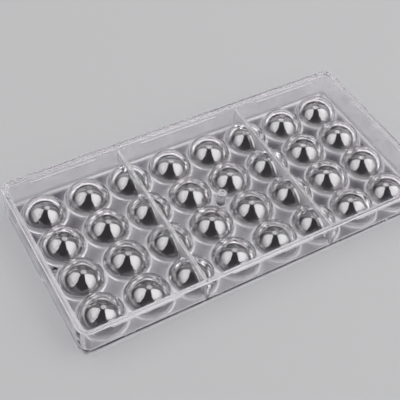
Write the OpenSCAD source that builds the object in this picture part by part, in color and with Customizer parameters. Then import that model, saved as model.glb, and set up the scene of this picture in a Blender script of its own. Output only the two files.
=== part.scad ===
// Clear chocolate mould of thirty-two round cavities, moulded in one piece.
// It lies on its filling face, so the backs of the cavities stand up inside the skirt.
// Units are millimetres. Origin is the middle of the footprint, on the filling face.
// X runs along the length, Y along the width, Z up.

/* [Outline] */
// Length over the skirt
mould_length = 275; // [265:1:300]
// Width over the skirt
mould_width = 135; // [132:1:150]
// Height from the filling face to the rim
mould_height = 24; // [22:0.5:32]
// Radius of the four upright corners
corner_radius = 8; // [7:0.5:12]
// Thickness of the plate between the cavities
plate_thickness = 3; // [2:0.1:4]
// Rounding of the lower outer edge
foot_rounding = 0.6; // [0.3:0.1:1]

/* [Skirt and rim] */
// Thickness of the skirt wall
skirt_thickness = 4; // [3.6:0.1:4.5]
// Width of the raised outer band of the rim
rim_band = 2.4; // [1.8:0.1:2.8]
// Drop from the raised band to the inner ledge of the rim
rim_step = 1.2; // [0.4:0.1:1.5]
// Rounding of the upper outer edge
rim_rounding = 0.8; // [0.3:0.1:1]
// Chamfer where the skirt meets the plate
foot_chamfer = 1; // [0.5:0.1:1.2]

/* [Cavities] */
// Spacing along the length
column_pitch = 32.8; // [32:0.1:33]
// Spacing along the width
row_pitch = 30.5; // [29.5:0.1:30.6]
// Radius of a cavity
cavity_radius = 12.5; // [11:0.5:13]
// How far below the filling face the middle of that radius lies
cavity_drop = 2.5; // [0:0.5:3]
// Radius of the domed back of a cavity
dome_radius = 16.2; // [15.5:0.1:16.4]

/* [Ribs] */
// Thickness of a cross rib
rib_thickness = 2.2; // [1.6:0.1:3]
// Distance of the rib crest below the rim
rib_drop = 4; // [3:0.5:6]

/* [Sprue peg] */
// Diameter of the peg in the middle
peg_diameter = 6.6; // [5:0.1:8]
// Height of the peg above the filling face
peg_height = 14.5; // [10:0.5:18]
// Diameter of the hollow in the peg's end
peg_hollow_diameter = 3.6; // [2.5:0.1:4.5]
// Depth of the hollow in the peg's end
peg_hollow_depth = 1.5; // [0.5:0.1:3]

/* [Holes] */
// Diameter of the hole at each end of the plate
hole_diameter = 4; // [2:0.1:4.4]
// Distance of the middle of each hole from the outside of the short wall
hole_inset = 10.5; // [9.9:0.1:10.9]

/* [Wall beads] */
// How far a bead stands out of the long walls
bead_depth = 0.7; // [0.4:0.1:1]
// Height of a bead
bead_height = 1; // [0.6:0.1:1.5]
// Distance of a bead's lower side below the rim
bead_drop = 5.2; // [4.5:0.1:8]
// Gap between the end of a bead and the rib or wall that it points at
bead_gap = 16.8; // [5:0.1:18]

/* [Hidden] */
// Overlap of solids that join.
join = 1;
// Centre lines of the upright corners.
corner_x = mould_length / 2 - corner_radius;
corner_y = mould_width / 2 - corner_radius;
// Inner faces of the short and the long walls.
wall_x = mould_length / 2 - skirt_thickness;
wall_y = mould_width / 2 - skirt_thickness;
inner_rounding = 0.5;
// As many cavities as the plate holds.
columns = floor(2 * wall_x / column_pitch);
rows = floor(2 * wall_y / row_pitch);
// The gap between cavities that is nearest to the middle.
gap_x = columns % 2 == 0 ? 0 : column_pitch / 2;
gap_y = rows % 2 == 0 ? 0 : row_pitch / 2;
// Each rib runs over the second column from the middle.
rib_x = column_pitch * (columns % 2 == 0 ? 1.5 : 2);
rib_face = rib_x + rib_thickness / 2;
rib_back = rib_x - rib_thickness / 2;
$fn = 96;

// Which node is shown

// Section of the skirt, measured outward from the centre line of a corner.
module skirt_section() {
    outer = corner_radius;
    inner = corner_radius - skirt_thickness;
    ledge = mould_height - rim_step;
    // Raised outer band with rounded outer edges.
    translate([outer - rim_band, foot_rounding])
        square([rim_band, mould_height - foot_rounding - rim_rounding]);
    translate([outer - rim_band, 0])
        square([rim_band - foot_rounding, mould_height / 2]);
    translate([outer - rim_band, mould_height / 2])
        square([rim_band - rim_rounding, mould_height / 2]);
    translate([outer - foot_rounding, foot_rounding])
        circle(r = foot_rounding);
    translate([outer - rim_rounding, mould_height - rim_rounding])
        circle(r = rim_rounding);
    // Inner part up to the lower ledge, with a rounded inner edge.
    translate([inner + inner_rounding, 0])
        square([skirt_thickness - rim_band, ledge]);
    translate([inner, 0])
        square([skirt_thickness - rim_band, ledge - inner_rounding]);
    translate([inner + inner_rounding, ledge - inner_rounding])
        circle(r = inner_rounding);
    // Chamfered foot on the plate.
    polygon([
        [inner + join, plate_thickness - join],
        [inner - foot_chamfer, plate_thickness - join],
        [inner - foot_chamfer, plate_thickness],
        [inner, plate_thickness + foot_chamfer],
        [inner + join, plate_thickness + foot_chamfer]
    ]);
}

// Four straight walls and four round corners.
module skirt() {
    for (side = [0:1]) {
        rotate([0, 0, 180 * side]) {
            translate([corner_x, corner_y, 0])
                rotate([90, 0, 0])
                    linear_extrude(height = 2 * corner_y)
                        skirt_section();
            rotate([0, 0, 90])
                translate([corner_y, corner_x, 0])
                    rotate([90, 0, 0])
                        linear_extrude(height = 2 * corner_x)
                            skirt_section();
            translate([corner_x, corner_y, 0])
                rotate_extrude(angle = 90)
                    skirt_section();
            translate([-corner_x, corner_y, 0])
                rotate([0, 0, 90])
                    rotate_extrude(angle = 90)
                        skirt_section();
        }
    }
}

module plate() {
    inset = skirt_thickness / 2;
    linear_extrude(height = plate_thickness)
        square([mould_length - 2 * inset - corner_radius,
            mould_width - 2 * inset - corner_radius], center = true);
    linear_extrude(height = plate_thickness)
        square([mould_length - 2 * inset, 2 * corner_y], center = true);
    linear_extrude(height = plate_thickness)
        square([2 * corner_x, mould_width - 2 * inset], center = true);
    for (x = [-1, 1])
        for (y = [-1, 1])
            translate([x * corner_x, y * corner_y, 0])
                cylinder(r = corner_radius - inset, h = plate_thickness);
}

// Places its children on every cavity.
module at_cavities() {
    for (column = [0:columns - 1])
        for (row = [0:rows - 1])
            translate([
                (column - (columns - 1) / 2) * column_pitch,
                (row - (rows - 1) / 2) * row_pitch,
                0
            ])
                children();
}

// Domed back that rises from inside the plate.
module dome() {
    rotate_extrude()
        intersection() {
            circle(r = dome_radius);
            translate([0, plate_thickness / 2])
                square([dome_radius, dome_radius]);
        }
}

module ribs() {
    for (x = [-1, 1])
        translate([
            x * rib_x - rib_thickness / 2,
            -wall_y - join,
            plate_thickness - join
        ])
            cube([
                rib_thickness,
                2 * wall_y + 2 * join,
                mould_height - rib_drop - plate_thickness + join
            ]);
}

module peg() {
    translate([gap_x, gap_y, plate_thickness - join])
        cylinder(d = peg_diameter, h = peg_height - plate_thickness + join);
}

// One bead on both long walls, from one place along them to another.
module bead(from, to) {
    for (side = [-1, 1])
        translate([
            from,
            side * (wall_y + (join - bead_depth) / 2) - (join + bead_depth) / 2,
            mould_height - bead_drop
        ])
            cube([to - from, join + bead_depth, bead_height]);
}

module mould() {
    color([0.86, 0.88, 0.9, 0.45])
        difference() {
            union() {
                skirt();
                plate();
                at_cavities()
                    dome();
                ribs();
                peg();
                bead(bead_gap - rib_back, rib_back - bead_gap);
                bead(rib_face + bead_gap, wall_x - bead_gap);
                bead(bead_gap - wall_x, -rib_face - bead_gap);
            }
            at_cavities()
                translate([0, 0, -cavity_drop])
                    sphere(r = cavity_radius);
            translate([gap_x, gap_y, peg_height - peg_hollow_depth])
                cylinder(d = peg_hollow_diameter, h = peg_hollow_depth + join);
            for (x = [-1, 1])
                translate([x * (mould_length / 2 - hole_inset), gap_y, -join])
                    cylinder(d = hole_diameter, h = plate_thickness + 2 * join);
        }
}

mould();
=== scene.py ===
"""Clear chocolate mould with thirty-two round cavities, lying on its filling face."""
import logging
import math
from dataclasses import dataclass, field
from enum import Enum

import bmesh
import bpy
from mathutils import Matrix, Vector


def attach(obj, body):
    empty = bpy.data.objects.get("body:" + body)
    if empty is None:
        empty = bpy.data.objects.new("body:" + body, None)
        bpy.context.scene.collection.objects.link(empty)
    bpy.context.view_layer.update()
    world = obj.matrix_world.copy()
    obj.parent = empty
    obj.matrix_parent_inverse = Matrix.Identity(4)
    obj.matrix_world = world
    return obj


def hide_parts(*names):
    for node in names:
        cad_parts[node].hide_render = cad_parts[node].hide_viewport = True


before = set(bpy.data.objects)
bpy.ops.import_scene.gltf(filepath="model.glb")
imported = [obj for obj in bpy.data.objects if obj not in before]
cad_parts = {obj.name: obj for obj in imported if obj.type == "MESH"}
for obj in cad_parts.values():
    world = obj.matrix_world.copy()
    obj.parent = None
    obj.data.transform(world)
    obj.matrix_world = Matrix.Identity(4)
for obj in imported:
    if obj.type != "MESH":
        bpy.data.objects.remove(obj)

LOG = logging.getLogger("mould")
MM = 0.001
# Points nearer than this are one, in millimetres.
WELD = 0.0005
# How far the added shapes start below the face of the plate, in millimetres.
SUNK = 0.01
# How near to a shape the middle of a face still counts as on it, in millimetres.
TOUCH = 0.1
# Glow of the even pale backdrop that the camera sees, where 1 is white.
BACKDROP_GLOW = 0.8


class Join(Enum):
    """How a shape is worked into the moulding."""

    ADD = "UNION"
    CUT = "DIFFERENCE"


@dataclass(frozen=True)
class Corner:
    """A corner of a flat section, with its rounding, in millimetres."""

    across: float
    up: float
    rounding: float = 0.0


@dataclass(frozen=True)
class Section:
    """A closed flat section in the XZ plane, with rounded corners."""

    corners: tuple[Corner, ...]
    steps: int = 4

    def draw(self, bm: bmesh.types.BMesh, place: Vector) -> bmesh.types.BMFace:
        """Draws the section as one face.

        Args:
            bm: The mesh to draw in, still empty.
            place: Where the section's zero point goes.

        Returns:
            The face with its corners rounded.
        """
        verts = [bm.verts.new(place + Vector((c.across, 0, c.up))) for c in self.corners]
        bm.faces.new(verts)
        for vert, corner in zip(verts, self.corners):
            if corner.rounding > 0:
                bmesh.ops.bevel(bm, geom=[vert], offset=corner.rounding, offset_type="OFFSET",
                                segments=self.steps, profile=0.5, affect="VERTICES", material=-1)
        bm.faces.ensure_lookup_table()
        return bm.faces[0]


def as_object(name: str, bm: bmesh.types.BMesh) -> bpy.types.Object:
    """Makes an object of a closed mesh.

    Args:
        name: Name of the object.
        bm: The mesh, which is used up.

    Returns:
        The object, linked to the scene.
    """
    bmesh.ops.remove_doubles(bm, verts=bm.verts, dist=WELD)
    bmesh.ops.recalc_face_normals(bm, faces=bm.faces)
    mesh = bpy.data.meshes.new(name)
    bm.to_mesh(mesh)
    bm.free()
    made = bpy.data.objects.new(name, mesh)
    bpy.context.scene.collection.objects.link(made)
    return made


def spread(shape: bmesh.types.BMesh, places: list[Vector]) -> bmesh.types.BMesh:
    """Repeats a shape.

    Args:
        shape: The shape, which is used up.
        places: Where its copies go.

    Returns:
        A mesh with all the copies.
    """
    bmesh.ops.remove_doubles(shape, verts=shape.verts, dist=WELD)
    mesh = bpy.data.meshes.new("repeated")
    shape.to_mesh(mesh)
    shape.free()
    bm = bmesh.new()
    for place in places:
        first = len(bm.verts)
        bm.from_mesh(mesh)
        bm.verts.ensure_lookup_table()
        bmesh.ops.translate(bm, verts=bm.verts[first:], vec=place)
    bpy.data.meshes.remove(mesh)
    return bm


def turned(bm: bmesh.types.BMesh, steps: int) -> bmesh.types.BMesh:
    """Turns all the edges of a mesh round the Z axis.

    Args:
        bm: A mesh that holds only the profile to turn.
        steps: Faces round the axis.

    Returns:
        The same mesh with the turned shape.
    """
    bmesh.ops.spin(bm, geom=bm.verts[:] + bm.edges[:], cent=(0, 0, 0), axis=(0, 0, 1),
                   angle=math.tau, steps=steps, use_merge=True, use_duplicate=False)
    bmesh.ops.remove_doubles(bm, verts=bm.verts, dist=WELD)
    return bm


@dataclass
class SkirtAndPlate:
    """The plate between the cavities with the skirt round it, in millimetres."""

    length: float = 275.0
    width: float = 135.0
    height: float = 24.0
    corner: float = 8.0
    plate: float = 3.0
    skirt: float = 4.0
    band: float = 2.4
    step: float = 1.2
    foot: float = 0.6
    rim: float = 0.8
    band_edge: float = 0.35
    step_foot: float = 0.25
    ledge_edge: float = 0.5
    inner_foot: float = 1.2
    overlap: float = 1.6
    corner_steps: int = 14

    def section(self) -> Section:
        """Lays out the section of the skirt and of the edge of the plate.

        Returns:
            The section, measured outward from the centre line of a corner.
        """
        wall = self.corner - self.skirt
        ledge = self.height - self.step
        return Section((
            Corner(self.corner, 0, self.foot),
            Corner(self.corner, self.height, self.rim),
            Corner(self.corner - self.band, self.height, self.band_edge),
            Corner(self.corner - self.band, ledge, self.step_foot),
            Corner(wall, ledge, self.ledge_edge),
            Corner(wall, self.plate, self.inner_foot),
            Corner(wall - self.overlap, self.plate),
            Corner(wall - self.overlap, 0),
        ))

    def build(self) -> bmesh.types.BMesh:
        """Sweeps the section round the outline and closes the plate.

        Returns:
            One closed mesh.
        """
        x, y = self.length / 2 - self.corner, self.width / 2 - self.corner
        bm = bmesh.new()
        face = self.section().draw(bm, Vector((x, y, 0)))
        inner = min(v.co.x for v in face.verts)
        bmesh.ops.delete(bm, geom=[face], context="FACES_ONLY")
        bmesh.ops.delete(bm, geom=[e for e in bm.edges if all(v.co.x < inner + 2 * WELD for v in e.verts)],
                         context="EDGES")
        edges = bm.edges[:]
        for centre, move in (((x, y, 0), (-2 * x, 0, 0)), ((-x, y, 0), (0, -2 * y, 0)),
                             ((-x, -y, 0), (2 * x, 0, 0)), ((x, -y, 0), (0, 2 * y, 0))):
            ends = list({v for e in edges for v in e.verts})
            spun = bmesh.ops.spin(bm, geom=ends + edges, cent=centre, axis=(0, 0, 1),
                                  angle=math.pi / 2, steps=self.corner_steps, use_duplicate=False)
            edges = self.end_edges(spun["geom_last"])
            drawn = bmesh.ops.extrude_edge_only(bm, edges=edges)
            verts = [g for g in drawn["geom"] if isinstance(g, bmesh.types.BMVert)]
            bmesh.ops.translate(bm, verts=verts, vec=move)
            edges = self.end_edges(drawn["geom"])
        bmesh.ops.remove_doubles(bm, verts=bm.verts, dist=2 * WELD)
        bmesh.ops.edgeloop_fill(bm, edges=[e for e in bm.edges if e.is_boundary])
        return bm

    @staticmethod
    def end_edges(made: list) -> list[bmesh.types.BMEdge]:
        """Picks the edges whose both ends are new.

        Args:
            made: What an operator returned.

        Returns:
            The edges of the far end.
        """
        verts = {g for g in made if isinstance(g, bmesh.types.BMVert)}
        return [g for g in made if isinstance(g, bmesh.types.BMEdge) and all(v in verts for v in g.verts)]


@dataclass
class CavityGrid:
    """The cavities and their domed backs, in millimetres."""

    columns: int = 8
    rows: int = 4
    column_pitch: float = 32.8
    row_pitch: float = 30.5
    dome: float = 16.2
    foot: float = 1.4
    plate: float = 3.0
    cavity: float = 12.5
    drop: float = 2.5
    root_depth: float = 1.0
    around: int = 72
    up_steps: int = 18
    foot_steps: int = 4

    def places(self, odd: int | None = None) -> list[Vector]:
        """Lists the middles of the cavities.

        Args:
            odd: 1 or 0 for every other cavity, as on a chessboard, or None for all.

        Returns:
            The middles on the filling face.
        """
        return [Vector(((c - (self.columns - 1) / 2) * self.column_pitch,
                        (r - (self.rows - 1) / 2) * self.row_pitch, 0))
                for c in range(self.columns) for r in range(self.rows)
                if odd is None or (c + r) % 2 == odd]

    def distance(self, point: Vector, level: float) -> float:
        """Measures how far a point is from the axis point of its nearest cavity.

        Args:
            point: A point in millimetres.
            level: The height of the axis point.

        Returns:
            The distance in millimetres.
        """
        x = (round(point.x / self.column_pitch - 0.5) + 0.5) * self.column_pitch
        y = (round(point.y / self.row_pitch - 0.5) + 0.5) * self.row_pitch
        return (point - Vector((x, y, level))).length

    def holds(self, point: Vector) -> bool:
        """Tells whether a point in millimetres lies on the wall of a cavity."""
        return self.distance(point, -self.drop) < self.cavity + TOUCH

    def carries(self, point: Vector) -> bool:
        """Tells whether a point in millimetres lies on a domed back or its foot."""
        return point.z > self.plate and self.dome - 2 * TOUCH < self.distance(point, 0) < self.dome + self.foot

    def back(self) -> bmesh.types.BMesh:
        """Spins one domed back, whose foot runs out into the plate.

        Returns:
            One closed mesh.
        """
        low = self.plate - SUNK
        tilt = math.asin((low + self.foot) / (self.dome + self.foot))
        reach = (self.dome + self.foot) * math.cos(tilt)
        bm = bmesh.new()
        top = bm.verts.new((0, 0, self.dome))
        arc = bmesh.ops.spin(bm, geom=[top], cent=(0, 0, 0), axis=(0, 1, 0),
                             angle=math.pi / 2 - tilt, steps=self.up_steps, use_duplicate=False)
        last = [g for g in arc["geom_last"] if isinstance(g, bmesh.types.BMVert)]
        arc = bmesh.ops.spin(bm, geom=last, cent=(reach, 0, low + self.foot), axis=(0, 1, 0),
                             angle=tilt - math.pi / 2, steps=self.foot_steps, use_duplicate=False)
        last = [g for g in arc["geom_last"] if isinstance(g, bmesh.types.BMVert)]
        down = bmesh.ops.extrude_vert_indiv(bm, verts=last)
        bmesh.ops.translate(bm, verts=down["verts"], vec=(0, 0, -self.root_depth))
        turned(bm, self.around)
        bmesh.ops.edgeloop_fill(bm, edges=[e for e in bm.edges if e.is_boundary])
        return bm

    def backs(self, odd: int) -> bmesh.types.BMesh:
        """Returns every other domed back: those whose column and row add up to an odd (1) or even (0) number."""
        return spread(self.back(), self.places(odd))

    def hollows(self) -> bmesh.types.BMesh:
        """Makes the balls that cut all the cavities.

        Returns:
            A mesh with all the balls.
        """
        bm = bmesh.new()
        bmesh.ops.create_uvsphere(bm, u_segments=self.around, v_segments=self.around // 2, radius=self.cavity)
        bmesh.ops.translate(bm, verts=bm.verts, vec=(0, 0, -self.drop))
        return spread(bm, self.places())


@dataclass
class CrossRibs:
    """The two cross ribs over the domed backs, in millimetres."""

    thickness: float = 2.2
    height: float = 20.0
    offset: float = 49.2
    reach: float = 64.5
    plate: float = 3.0
    crest: float = 0.4
    foot: float = 0.9
    root: float = 1.2
    depth: float = 1.0

    def holds(self, point: Vector) -> bool:
        """Tells whether a point in millimetres lies on a rib."""
        return abs(abs(point.x) - self.offset) < self.thickness / 2 + TOUCH

    def build(self) -> bmesh.types.BMesh:
        """Extrudes both ribs, which run into the long walls.

        Returns:
            A mesh with both ribs.
        """
        half, low = self.thickness / 2, self.plate - SUNK
        section = Section((
            Corner(half, self.height, self.crest), Corner(-half, self.height, self.crest),
            Corner(-half, low, self.foot), Corner(-half - self.root, low),
            Corner(-half - self.root, low - self.depth), Corner(half + self.root, low - self.depth),
            Corner(half + self.root, low), Corner(half, low, self.foot),
        ))
        bm = bmesh.new()
        face = section.draw(bm, Vector((0, -self.reach, 0)))
        drawn = bmesh.ops.extrude_face_region(bm, geom=[face])
        verts = [g for g in drawn["geom"] if isinstance(g, bmesh.types.BMVert)]
        bmesh.ops.translate(bm, verts=verts, vec=(0, 2 * self.reach, 0))
        return spread(bm, [Vector((side * self.offset, 0, 0)) for side in (-1, 1)])


@dataclass
class SpruePeg:
    """The peg in the middle where the plastic entered, in millimetres."""

    radius: float = 3.3
    height: float = 14.5
    hollow: float = 1.8
    depth: float = 1.5
    hollow_foot: float = 0.4
    hollow_edge: float = 0.3
    edge: float = 0.6
    plate: float = 3.0
    foot: float = 0.9
    root: float = 1.2
    root_depth: float = 1.0
    around: int = 40

    def holds(self, point: Vector) -> bool:
        """Tells whether a point in millimetres lies on the peg."""
        return math.hypot(point.x, point.y) < self.radius + TOUCH and point.z > self.plate + 2 * TOUCH

    def build(self) -> bmesh.types.BMesh:
        """Turns the peg with the hollow in its end.

        Returns:
            One closed mesh.
        """
        low, hollow_low = self.plate - SUNK, self.height - self.depth
        section = Section((
            Corner(0, hollow_low), Corner(self.hollow, hollow_low, self.hollow_foot),
            Corner(self.hollow, self.height, self.hollow_edge), Corner(self.radius, self.height, self.edge),
            Corner(self.radius, low, self.foot), Corner(self.radius + self.root, low),
            Corner(self.radius + self.root, low - self.root_depth), Corner(0, low - self.root_depth),
        ))
        bm = bmesh.new()
        face = section.draw(bm, Vector((0, 0, 0)))
        bmesh.ops.delete(bm, geom=[face], context="FACES_ONLY")
        bmesh.ops.delete(bm, geom=[e for e in bm.edges if all(abs(v.co.x) < 2 * WELD for v in e.verts)],
                         context="EDGES")
        return turned(bm, self.around)


@dataclass
class WallBeads:
    """The thin beads along the inside of the long walls, in millimetres."""

    wall: float = 63.5
    depth: float = 0.7
    height: float = 1.0
    level: float = 18.8
    middle: float = 62.6
    end: float = 49.6
    end_offset: float = 91.9
    root: float = 1.0
    rounding: float = 0.3
    rounding_steps: int = 3

    def holds(self, point: Vector) -> bool:
        """Tells whether a point in millimetres lies on a bead."""
        return (self.wall - self.depth - TOUCH < abs(point.y) < self.wall + TOUCH
                and abs(point.z - self.level - self.height / 2) < self.height / 2 + TOUCH)

    def build(self) -> bmesh.types.BMesh:
        """Makes the three beads of both long walls.

        Returns:
            A mesh with all six beads.
        """
        bm = bmesh.new()
        for x, long in ((0, self.middle), (-self.end_offset, self.end), (self.end_offset, self.end)):
            for side in (-1, 1):
                y = side * (self.wall + self.root / 2 - self.depth / 2)
                place = Matrix.Translation((x, y, self.level + self.height / 2))
                size = Matrix.Diagonal((long, self.root + self.depth, self.height, 1))
                made = bmesh.ops.create_cube(bm, size=1, matrix=place @ size)
                edges = [e for e in bm.edges if e.verts[0] in made["verts"]
                         and all(abs(v.co.y) < self.wall for v in e.verts)]
                bmesh.ops.bevel(bm, geom=edges, offset=self.rounding, offset_type="OFFSET",
                                segments=self.rounding_steps, profile=0.5, affect="EDGES", material=-1)
        return bm


@dataclass
class EndHoles:
    """The plain hole through the plate by each short wall, in millimetres."""

    radius: float = 2.0
    offset: float = 127.0
    pin: float = 20.0
    around: int = 36

    def build(self) -> bmesh.types.BMesh:
        """Makes the two pins that cut the holes.

        Returns:
            A mesh with both pins.
        """
        bm = bmesh.new()
        for side in (-1, 1):
            bmesh.ops.create_cone(bm, cap_ends=True, segments=self.around, radius1=self.radius,
                                  radius2=self.radius, depth=self.pin,
                                  matrix=Matrix.Translation((side * self.offset, 0, 0)))
        return bm


def worked_out(nodes: bpy.types.Nodes, links: bpy.types.NodeLinks, operation: str,
               first: bpy.types.NodeSocket, second: bpy.types.NodeSocket) -> bpy.types.NodeSocket:
    """Adds a node that works out one number from two.

    Args:
        nodes: The nodes to add it to.
        links: The links of the same tree.
        operation: What the node does.
        first: The first number.
        second: The second number.

    Returns:
        The result.
    """
    made = nodes.new("ShaderNodeMath")
    made.operation = operation
    links.new(first, made.inputs[0])
    links.new(second, made.inputs[1])
    return made.outputs["Value"]


def ranged(nodes: bpy.types.Nodes, links: bpy.types.NodeLinks, value: bpy.types.NodeSocket,
           old: tuple[float, float], new: tuple[float, float] = (0.0, 1.0),
           smooth: bool = False) -> bpy.types.NodeSocket:
    """Adds a node that moves a number from one range to another.

    Args:
        nodes: The nodes to add it to.
        links: The links of the same tree.
        value: The number.
        old: The range that it comes from.
        new: The range that it goes to.
        smooth: Whether it eases in and out.

    Returns:
        The result.
    """
    made = nodes.new("ShaderNodeMapRange")
    made.interpolation_type = "SMOOTHSTEP" if smooth else "LINEAR"
    made.inputs["From Min"].default_value, made.inputs["From Max"].default_value = old
    made.inputs["To Min"].default_value, made.inputs["To Max"].default_value = new
    links.new(value, made.inputs["Value"])
    return made.outputs["Result"]


@dataclass(frozen=True)
class ClearPlastic:
    """Clear polished plastic with faint flow marks and fine handling scratches.

    The shade is what a surface lets through to the ground. The gloss is a clear coat that mirrors the studio.
    The white cloud is a painted highlight: white diffuse plastic where light would catch, all over or fading out
    between two heights in metres; on the ribs it is partly their frosted look.
    """

    name: str = "clear_plastic"
    tint: tuple[float, float, float, float] = (0.965, 0.945, 0.965, 1.0)
    shade: tuple[float, float, float, float] = (0.85, 0.85, 0.87, 1.0)
    ior: float = 1.585
    polish: tuple[float, float] = (0.012, 0.06)
    gloss: float = 0.0
    gloss_ior: float = 3.0
    gloss_polish: float = 0.02
    sheen: float = 0.0
    sheen_polish: float = 0.35
    # White diffuse plastic in place of clear plastic: a painted highlight where light would catch.
    highlight_haze: float = 0.0
    highlight_haze_reach: tuple[float, float] | None = None
    cloud_size: float = 38.0
    cloud_detail: float = 5.0
    cloud_spread: tuple[float, float] = (0.35, 1.0)
    scratch_size: tuple[float, float, float] = (90.0, 1600.0, 90.0)
    scratch_detail: float = 2.0
    scratch_turn: float = 0.6
    scratch_share: tuple[float, float] = (0.66, 0.78)
    ripple: float = 0.12
    ripple_size: float = 85.0
    ripple_detail: float = 1.0
    ripple_depth: float = 0.0004

    def make(self) -> bpy.types.Material:
        """Builds the node material.

        Returns:
            The material.
        """
        mat = bpy.data.materials.new(self.name)
        mat.use_nodes = True
        nodes, links = mat.node_tree.nodes, mat.node_tree.links
        body = nodes["Principled BSDF"]
        body.inputs["Base Color"].default_value = self.tint
        # Less light passes where the white cloud is: a painted highlight of white diffuse plastic.
        body.inputs["Transmission Weight"].default_value = 1.0 - self.highlight_haze
        body.inputs["IOR"].default_value = self.ior
        body.inputs["Coat Weight"].default_value = self.gloss
        body.inputs["Coat IOR"].default_value = self.gloss_ior
        body.inputs["Coat Roughness"].default_value = self.gloss_polish
        body.inputs["Sheen Weight"].default_value = self.sheen
        body.inputs["Sheen Roughness"].default_value = self.sheen_polish
        place = nodes.new("ShaderNodeTexCoord").outputs["Object"]
        links.new(self.wear(nodes, links, place), body.inputs["Roughness"])
        links.new(self.waves(nodes, links, place), body.inputs["Normal"])
        if self.highlight_haze_reach:
            height = nodes.new("ShaderNodeSeparateXYZ")
            links.new(place, height.inputs["Vector"])
            clears = ranged(nodes, links, height.outputs["Z"], self.highlight_haze_reach, (1.0 - self.highlight_haze, 1.0), smooth=True)
            links.new(clears, body.inputs["Transmission Weight"])
        self.let_light_through(nodes, links, body)
        return mat

    def wear(self, nodes: bpy.types.Nodes, links: bpy.types.NodeLinks,
             place: bpy.types.NodeSocket) -> bpy.types.NodeSocket:
        """Adds cloudy handling marks and fine scratches.

        Args:
            nodes: The nodes of the material.
            links: Its links.
            place: The place on the piece.

        Returns:
            The roughness.
        """
        cloud = nodes.new("ShaderNodeTexNoise")
        cloud.inputs["Scale"].default_value = self.cloud_size
        cloud.inputs["Detail"].default_value = self.cloud_detail
        links.new(place, cloud.inputs["Vector"])
        stretch = nodes.new("ShaderNodeMapping")
        stretch.inputs["Rotation"].default_value = (0.0, 0.0, self.scratch_turn)
        stretch.inputs["Scale"].default_value = self.scratch_size
        links.new(place, stretch.inputs["Vector"])
        scratch = nodes.new("ShaderNodeTexNoise")
        scratch.inputs["Scale"].default_value = 1.0
        scratch.inputs["Detail"].default_value = self.scratch_detail
        links.new(stretch.outputs["Vector"], scratch.inputs["Vector"])
        lines = ranged(nodes, links, scratch.outputs["Fac"], self.scratch_share)
        marks = worked_out(nodes, links, "MAXIMUM", cloud.outputs["Fac"], lines)
        return ranged(nodes, links, marks, self.cloud_spread, self.polish)

    def waves(self, nodes: bpy.types.Nodes, links: bpy.types.NodeLinks,
              place: bpy.types.NodeSocket) -> bpy.types.NodeSocket:
        """Adds the faint waves that the flow of the plastic left.

        Args:
            nodes: The nodes of the material.
            links: Its links.
            place: The place on the piece.

        Returns:
            The normal.
        """
        flow = nodes.new("ShaderNodeTexNoise")
        flow.inputs["Scale"].default_value = self.ripple_size
        flow.inputs["Detail"].default_value = self.ripple_detail
        links.new(place, flow.inputs["Vector"])
        wave = nodes.new("ShaderNodeBump")
        wave.inputs["Strength"].default_value = self.ripple
        wave.inputs["Distance"].default_value = self.ripple_depth
        links.new(flow.outputs["Fac"], wave.inputs["Height"])
        return wave.outputs["Normal"]

    def let_light_through(self, nodes: bpy.types.Nodes, links: bpy.types.NodeLinks,
                          body: bpy.types.Node) -> None:
        """Lets the light of the lamps through to the ground.

        Args:
            nodes: The nodes of the material.
            links: Its links.
            body: The plastic that all other rays meet.
        """
        ray = nodes.new("ShaderNodeLightPath")
        to_ground = worked_out(nodes, links, "MAXIMUM", ray.outputs["Is Shadow Ray"], ray.outputs["Is Diffuse Ray"])
        clear = nodes.new("ShaderNodeBsdfTransparent")
        clear.inputs["Color"].default_value = self.shade
        mix = nodes.new("ShaderNodeMixShader")
        links.new(to_ground, mix.inputs["Fac"])
        links.new(body.outputs["BSDF"], mix.inputs[1])
        links.new(clear.outputs["BSDF"], mix.inputs[2])
        links.new(mix.outputs["Shader"], nodes["Material Output"].inputs["Surface"])


@dataclass(frozen=True)
class PaleGround:
    """Plain pale paper under the mould, which runs out into an even pale backdrop.

    It fades out between two distances from the middle, in metres.
    """

    colour: tuple[float, float, float, float] = (0.62, 0.62, 0.63, 1.0)
    roughness: float = 0.9
    shine: float = 0.1
    fade: tuple[float, float] = (0.4, 1.3)

    def make(self) -> bpy.types.Material:
        """Builds the node material.

        Returns:
            The material.
        """
        mat = bpy.data.materials.new("pale_ground")
        mat.use_nodes = True
        nodes, links = mat.node_tree.nodes, mat.node_tree.links
        body = nodes["Principled BSDF"]
        body.inputs["Base Color"].default_value = self.colour
        body.inputs["Roughness"].default_value = self.roughness
        body.inputs["Specular IOR Level"].default_value = self.shine
        away = nodes.new("ShaderNodeVectorMath")
        away.operation = "LENGTH"
        links.new(nodes.new("ShaderNodeTexCoord").outputs["Object"], away.inputs[0])
        far = ranged(nodes, links, away.outputs["Value"], self.fade, smooth=True)
        ray = nodes.new("ShaderNodeLightPath")
        seen = worked_out(nodes, links, "MAXIMUM", ray.outputs["Is Camera Ray"], ray.outputs["Is Glossy Ray"])
        seen = worked_out(nodes, links, "MAXIMUM", seen, ray.outputs["Is Transmission Ray"])
        pale = nodes.new("ShaderNodeEmission")
        pale.inputs["Strength"].default_value = BACKDROP_GLOW
        mix = nodes.new("ShaderNodeMixShader")
        links.new(worked_out(nodes, links, "MULTIPLY", far, seen), mix.inputs["Fac"])
        links.new(body.outputs["BSDF"], mix.inputs[1])
        links.new(pale.outputs["Emission"], mix.inputs[2])
        links.new(mix.outputs["Shader"], nodes["Material Output"].inputs["Surface"])
        return mat


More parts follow.
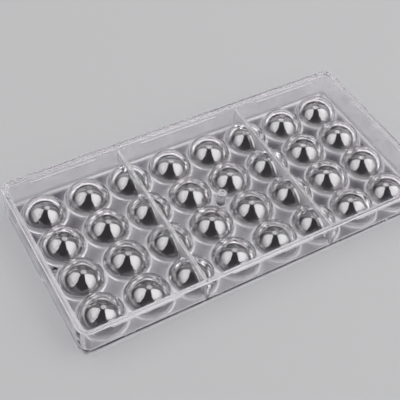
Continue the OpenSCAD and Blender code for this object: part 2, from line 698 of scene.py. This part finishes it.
@dataclass
class Mould:
    """The whole moulding, put together from its shapes, with the finish of each part; on the backs, dome feet,
    ribs, peg, beads, edges, foot and wall foot the finish holds a white cloud that is a painted highlight.

    Flat and rounded say how far up or down a face looks, where 1 is straight. Levels are heights in
    millimetres. Edges sharper than the angle sharp, in degrees, aren't smoothed.
    """

    skirt: SkirtAndPlate = field(default_factory=SkirtAndPlate)
    grid: CavityGrid = field(default_factory=CavityGrid)
    ribs: CrossRibs = field(default_factory=CrossRibs)
    peg: SpruePeg = field(default_factory=SpruePeg)
    beads: WallBeads = field(default_factory=WallBeads)
    holes: EndHoles = field(default_factory=EndHoles)
    finish: ClearPlastic = ClearPlastic()
    plate_finish: ClearPlastic = ClearPlastic("clear_plastic_plate", shade=(0.24, 0.22, 0.25, 1.0))
    cavity_finish: ClearPlastic = ClearPlastic(
        "clear_plastic_cavities", shade=(0.06, 0.057, 0.062, 1.0), polish=(0.008, 0.04), gloss=1.0)
    # Backs, dome feet, ribs, edges, foot and wall foot carry the white cloud: a painted highlight for the bright
    # glints at the dome feet, edges, rims, beads, peg and wall foot; on the ribs it is partly their frosted look.
    back_finish_and_highlight: ClearPlastic = ClearPlastic(
        "clear_plastic_backs_painted_highlight", sheen=0.15, highlight_haze=0.8, highlight_haze_reach=(0.003, 0.0075))
    dome_foot_finish_and_highlight: ClearPlastic = ClearPlastic(
        "clear_plastic_dome_feet_painted_highlight", gloss=1.0, gloss_ior=2.4, sheen=0.5, highlight_haze=0.8, highlight_haze_reach=(0.003, 0.0075))
    rib_finish_and_highlight: ClearPlastic = ClearPlastic("clear_plastic_ribs_painted_highlight", sheen=0.6, highlight_haze=0.3, ripple=0.03)
    rim_finish: ClearPlastic = ClearPlastic("clear_plastic_rim", ripple=0.01)
    edge_finish_and_highlight: ClearPlastic = ClearPlastic("clear_plastic_edges_painted_highlight", sheen=0.6, highlight_haze=0.85, ripple=0.01)
    foot_finish_and_highlight: ClearPlastic = ClearPlastic("clear_plastic_foot_painted_highlight", sheen=0.6, highlight_haze=0.7)
    wall_finish_and_highlight: ClearPlastic = ClearPlastic(
        "clear_plastic_walls_painted_highlight", highlight_haze=0.7, highlight_haze_reach=(0.0, 0.006), ripple=0.012)
    flat: float = 0.99
    rounded: tuple[float, float] = (0.1, 0.98)
    rib_foot_level: float = 3.5
    foot_level: float = 5.0
    dome_foot_level: float = 6.5
    crest_level: float = 12.5
    sharp: float = 32.0

    def build(self) -> bpy.types.Object:
        """Joins the shapes to one clear body.

        Returns:
            The finished piece.
        """
        base = as_object("moulding", self.skirt.build())
        work = (("backs_even", self.grid.backs(0), Join.ADD), ("backs_odd", self.grid.backs(1), Join.ADD),
                ("ribs", self.ribs.build(), Join.ADD), ("peg", self.peg.build(), Join.ADD),
                ("beads", self.beads.build(), Join.ADD), ("hollows", self.grid.hollows(), Join.CUT),
                ("pins", self.holes.build(), Join.CUT))
        tools = []
        for name, bm, join in work:
            tool = as_object(name, bm)
            step = base.modifiers.new(name, "BOOLEAN")
            step.operation, step.solver, step.object = join.value, "MANIFOLD", tool
            tools.append(tool)
        mesh = bpy.data.meshes.new_from_object(base.evaluated_get(bpy.context.evaluated_depsgraph_get()))
        for spare in tools + [base]:
            bpy.data.objects.remove(spare)
        return self.dress(self.cleaned(mesh))

    @staticmethod
    def cleaned(mesh: bpy.types.Mesh, least: float = 0.002) -> bpy.types.Mesh:
        """Takes out the slivers that the joining leaves.

        Args:
            mesh: The joined mesh in millimetres.
            least: The narrowest face that stays.

        Returns:
            The same mesh without its slivers.
        """
        bm = bmesh.new()
        bm.from_mesh(mesh)
        bmesh.ops.dissolve_degenerate(bm, dist=least, edges=bm.edges)
        bmesh.ops.remove_doubles(bm, verts=bm.verts, dist=least)
        bmesh.ops.dissolve_degenerate(bm, dist=least, edges=bm.edges)
        LOG.info("edges that aren't closed: %d", sum(not edge.is_manifold for edge in bm.edges))
        bm.to_mesh(mesh)
        bm.free()
        return mesh

    def finish_at(self, place: Vector, normal: Vector) -> ClearPlastic:
        """Chooses the finish of one face, which on the backs, dome feet, ribs, peg, beads, edges, foot and wall
        foot holds a white cloud that is a painted highlight.

        Args:
            place: The middle of the face, in millimetres.
            normal: The way it faces.

        Returns:
            The finish for that part of the moulding.
        """
        beside = max(abs(place.x) - self.skirt.length / 2, abs(place.y) - self.skirt.width / 2)
        rounded = self.rounded[0] < abs(normal.z) < self.rounded[1]
        if normal.z > self.flat and abs(place.z - self.skirt.plate) < TOUCH:
            return self.plate_finish
        if normal.z < -self.flat and abs(place.z) < TOUCH:
            return self.foot_finish_and_highlight if beside > -self.skirt.skirt else self.finish
        if self.grid.holds(place):
            return self.cavity_finish
        if (self.ribs.holds(place) and place.z > self.rib_foot_level) or self.peg.holds(place):
            return self.edge_finish_and_highlight if rounded and place.z > self.crest_level else self.rib_finish_and_highlight
        if self.beads.holds(place):
            return self.edge_finish_and_highlight
        if self.grid.carries(place):
            return self.back_finish_and_highlight if place.z > self.dome_foot_level else self.dome_foot_finish_and_highlight
        if rounded:
            return self.foot_finish_and_highlight if place.z < self.foot_level else self.edge_finish_and_highlight
        if normal.z >= self.rounded[1] and place.z > self.ribs.height:
            return self.rim_finish
        upright = abs(normal.z) <= self.rounded[0]
        return self.wall_finish_and_highlight if upright and beside > -self.skirt.skirt - TOUCH else self.finish

    def dress(self, mesh: bpy.types.Mesh) -> bpy.types.Object:
        """Smooths the mesh and gives it its plastic.

        Args:
            mesh: The joined mesh in millimetres.

        Returns:
            The piece in metres.
        """
        mesh.shade_smooth()
        mesh.set_sharp_from_angle(angle=math.radians(self.sharp))
        mesh.materials.clear()
        finishes = (self.finish, self.plate_finish, self.cavity_finish, self.back_finish_and_highlight, self.edge_finish_and_highlight,
                    self.foot_finish_and_highlight, self.wall_finish_and_highlight, self.dome_foot_finish_and_highlight, self.rib_finish_and_highlight, self.rim_finish)
        for finish in finishes:
            mesh.materials.append(finish.make())
        for face in mesh.polygons:
            face.material_index = finishes.index(self.finish_at(face.center, face.normal))
        used = [face.material_index for face in mesh.polygons]
        LOG.info("faces of each finish: %s", {finish.name: used.count(i) for i, finish in enumerate(finishes)})
        mesh.transform(Matrix.Scale(MM, 4))
        piece = bpy.data.objects.new("mould_shell", mesh)
        bpy.context.scene.collection.objects.link(piece)
        even = piece.modifiers.new("even_shading", "WEIGHTED_NORMAL")
        even.keep_sharp = True
        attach(piece, "root")
        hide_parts("mould")
        return piece


@dataclass(frozen=True)
class Flag:
    """A straight edge that cuts off the glow of a lamp.

    The turn is in degrees, as seen from the mould, with the camera's far side to the right.
    """

    turn: float
    reach: float
    soft: float


LEFT_FLAGS = (
    Flag(101, 0.515, 0.03), Flag(134, 0.58, 0.03), Flag(180, 0.8, 0.1), Flag(253, 0.64, 0.3),
    Flag(-45, 0.5, 0.16), Flag(0, 0.5, 0.1), Flag(49, 0.67, 0.06), Flag(-90, 0.75, 0.8),
)
RIGHT_FLAGS = (
    Flag(101, 0.53, 0.03), Flag(134, 0.58, 0.03), Flag(180, 0.85, 0.1), Flag(253, 0.74, 0.3),
    Flag(-45, 0.54, 0.18), Flag(0, 0.5, 0.1), Flag(49, 0.67, 0.06), Flag(-90, 0.85, 0.8),
)
ROUND_FLAGS = tuple(Flag(45 * side, 0.26, 0.12) for side in range(8))


@dataclass(frozen=True)
class Softbox:
    """A studio lamp cut to shape by flags, placed from the camera's heading."""

    name: str
    turn: float
    rise: float
    wide: float
    tall: float
    glow: float
    flags: tuple[Flag, ...]
    away: float = 2.0

    def place(self, heading: Vector) -> Vector:
        """Works out where the lamp hangs.

        Args:
            heading: The way the camera looks, along the ground.

        Returns:
            The place in metres.
        """
        turn, rise = math.radians(self.turn), math.radians(self.rise)
        aside = Vector((heading.y, -heading.x, 0))
        flat = (heading * math.cos(turn) + aside * math.sin(turn)) * math.cos(rise)
        return (flat + Vector((0, 0, math.sin(rise)))) * self.away

    def hang(self, heading: Vector) -> None:
        """Hangs the lamp so that it faces the mould.

        Args:
            heading: The way the camera looks, along the ground.
        """
        lamp = bpy.data.lights.new(self.name, "AREA")
        lamp.shape = "RECTANGLE"
        lamp.size, lamp.size_y = self.wide * self.away, self.tall * self.away
        lamp.energy = self.glow * math.pi * lamp.size * lamp.size_y
        self.mask(lamp)
        hung = bpy.data.objects.new(self.name, lamp)
        hung.location = self.place(heading)
        hung.rotation_euler = (-hung.location).to_track_quat("-Z", "Y").to_euler()
        bpy.context.scene.collection.objects.link(hung)

    def mask(self, lamp: bpy.types.AreaLight) -> None:
        """Cuts the lamp's glow at each of its flags.

        Args:
            lamp: The lamp.
        """
        lamp.use_nodes = True
        nodes, links = lamp.node_tree.nodes, lamp.node_tree.links
        spot = nodes.new("ShaderNodeNewGeometry")
        place = nodes.new("ShaderNodeVectorMath")
        place.operation = "MULTIPLY_ADD"
        far_side = math.copysign(1, self.turn)
        place.inputs[1].default_value = (far_side * self.wide, self.tall, 0)
        place.inputs[2].default_value = (-far_side * self.wide / 2, -self.tall / 2, 0)
        links.new(spot.outputs["Parametric"], place.inputs[0])
        left = None
        for flag in self.flags:
            turn = math.radians(flag.turn)
            along = nodes.new("ShaderNodeVectorMath")
            along.operation = "DOT_PRODUCT"
            along.inputs[1].default_value = (math.cos(turn), math.sin(turn), 0)
            links.new(place.outputs["Vector"], along.inputs[0])
            edge = ranged(nodes, links, along.outputs["Value"], (flag.reach, flag.reach - flag.soft))
            left = worked_out(nodes, links, "MULTIPLY", edge, left) if left else edge
        links.new(left, nodes["Emission"].inputs["Strength"])


@dataclass
class Studio:
    """Ground, lamps and camera of the photograph.

    Angles are in degrees. The aim is where the camera sees the middle of the mould, in millimetres across, up
    and away.
    """

    lens_px: float = 823.79
    turn: float = -33.85
    rise: float = 49.38
    roll: float = -5.43
    aim: tuple[float, float, float] = (14.63, -3.99, 587.83)
    lamps: tuple[Softbox, ...] = (
        Softbox("left_softbox", -86, 50, 2.0, 1.9, 1.95, LEFT_FLAGS),
        Softbox("right_softbox", 80, 48, 2.0, 1.9, 2.4, RIGHT_FLAGS),
        Softbox("back_softbox", 0, 57, 0.56, 0.56, 1.7, ROUND_FLAGS),
    )
    horizon_glow: float = 1.0
    room_glow: float = 0.04
    horizon_fade: tuple[float, float] = (0.12, 0.3)
    ground_reach: float = 1.7
    ground_gap: float = 0.0003
    frame_px: int = 400
    sensor: float = 36.0
    near: float = 0.01

    def ground(self) -> None:
        """Lays the ground just under the filling face."""
        bm = bmesh.new()
        bmesh.ops.create_grid(bm, x_segments=2, y_segments=2, size=self.ground_reach)
        bmesh.ops.translate(bm, verts=bm.verts, vec=(0, 0, -self.ground_gap))
        mesh = bpy.data.meshes.new("ground")
        bm.to_mesh(mesh)
        bm.free()
        mesh.materials.append(PaleGround().make())
        laid = bpy.data.objects.new("ground", mesh)
        bpy.context.scene.collection.objects.link(laid)

    def light(self) -> None:
        """Hangs the lamps and sets the faint light of the room, which is brighter towards the horizon."""
        turn = math.radians(self.turn)
        heading = Vector((-math.sin(turn), math.cos(turn), 0))
        for lamp in self.lamps:
            lamp.hang(heading)
        world = bpy.data.worlds.new("room")
        world.use_nodes = True
        nodes, links = world.node_tree.nodes, world.node_tree.links
        glow = nodes["Background"]
        glow.inputs["Color"].default_value = (1, 1, 1, 1)
        split = nodes.new("ShaderNodeSeparateXYZ")
        links.new(nodes.new("ShaderNodeTexCoord").outputs["Generated"], split.inputs["Vector"])
        room = ranged(nodes, links, split.outputs["Z"], self.horizon_fade, (self.horizon_glow, self.room_glow),
                      smooth=True)
        ray = nodes.new("ShaderNodeLightPath")
        seen = nodes.new("ShaderNodeMix")
        links.new(ray.outputs["Is Camera Ray"], seen.inputs["Factor"])
        links.new(room, seen.inputs["A"])
        seen.inputs["B"].default_value = BACKDROP_GLOW
        links.new(seen.outputs["Result"], glow.inputs["Strength"])
        bpy.context.scene.world = world

    def camera(self) -> None:
        """Sets the camera at the photograph's viewing angle."""
        turn, rise, roll = (math.radians(a) for a in (self.turn, self.rise, self.roll))
        back = Vector((math.sin(turn) * math.cos(rise), -math.cos(turn) * math.cos(rise), math.sin(rise)))
        right = Vector((math.cos(turn), math.sin(turn), 0))
        up = back.cross(right)
        across = math.cos(roll) * right - math.sin(roll) * up
        along = math.sin(roll) * right + math.cos(roll) * up
        axes = Matrix((across, along, back)).transposed()
        place = axes @ Vector((-self.aim[0], -self.aim[1], self.aim[2])) * MM
        lens = bpy.data.cameras.new("camera")
        lens.sensor_width = self.sensor
        lens.lens = self.lens_px / self.frame_px * self.sensor
        lens.clip_start = self.near
        eye = bpy.data.objects.new("camera", lens)
        eye.matrix_world = Matrix.Translation(place) @ axes.to_4x4()
        bpy.context.scene.collection.objects.link(eye)
        bpy.context.scene.camera = eye
        bpy.context.scene.view_settings.view_transform = "Standard"

    def set_up(self) -> None:
        """Sets up ground, lamps and camera."""
        self.ground()
        self.light()
        self.camera()


def main() -> None:
    """Builds the mould and its studio."""
    logging.basicConfig(level=logging.INFO, format="%(name)s: %(message)s")
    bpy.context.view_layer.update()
    Studio().set_up()
    piece = Mould().build()
    LOG.info("%s: %d faces", piece.name, len(piece.data.polygons))


if __name__ == "__main__":
    main()
